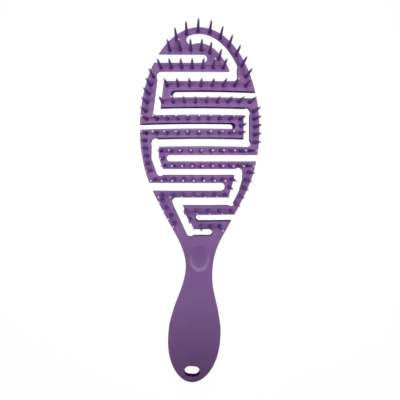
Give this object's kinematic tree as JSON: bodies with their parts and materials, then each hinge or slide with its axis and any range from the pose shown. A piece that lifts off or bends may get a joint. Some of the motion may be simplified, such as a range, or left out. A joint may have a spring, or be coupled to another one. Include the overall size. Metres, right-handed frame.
{
  "type": "detangling brush",
  "caption": "Flexible hair detangling brush with an oval, maze-slotted, gently domed head, soft tapered pins in rows and a flared paddle handle with a hanging hole.",
  "frame": {"origin": "middle of the bounding box in plan, at the level of the surface that the brush lies on with its back down", "axes": "+Y from the handle's end to the tip of the head, +Z towards the pins, +X to the right seen from the pin side with the tip up"},
  "size_m": [0.0774, 0.2376, 0.0363],
  "materials": {
    "frame": "satin",
    "pins": "satin"
  },
  "bodies": {
    "root": {"frame": "frame", "pin_strip_rib_01": "pins", "pin_strip_rib_02": "pins", "pin_strip_rib_03": "pins", "pin_strip_rib_04": "pins", "pin_strip_rib_05": "pins", "pin_strip_rib_06": "pins", "pin_strip_rib_07": "pins", "pin_strip_rib_08": "pins", "pin_strip_rib_09": "pins", "pin_strip_rib_10": "pins", "pin_strip_rib_11": "pins", "pin_strip_rib_12": "pins", "pin_strip_left_rail_upper": "pins", "pin_strip_left_rail_middle": "pins", "pin_strip_left_rail_lower": "pins", "pin_strip_right_rail_upper": "pins", "pin_strip_right_rail_lower": "pins", "pin_strip_top_ring": "pins"}
  },
  "joints": []
}
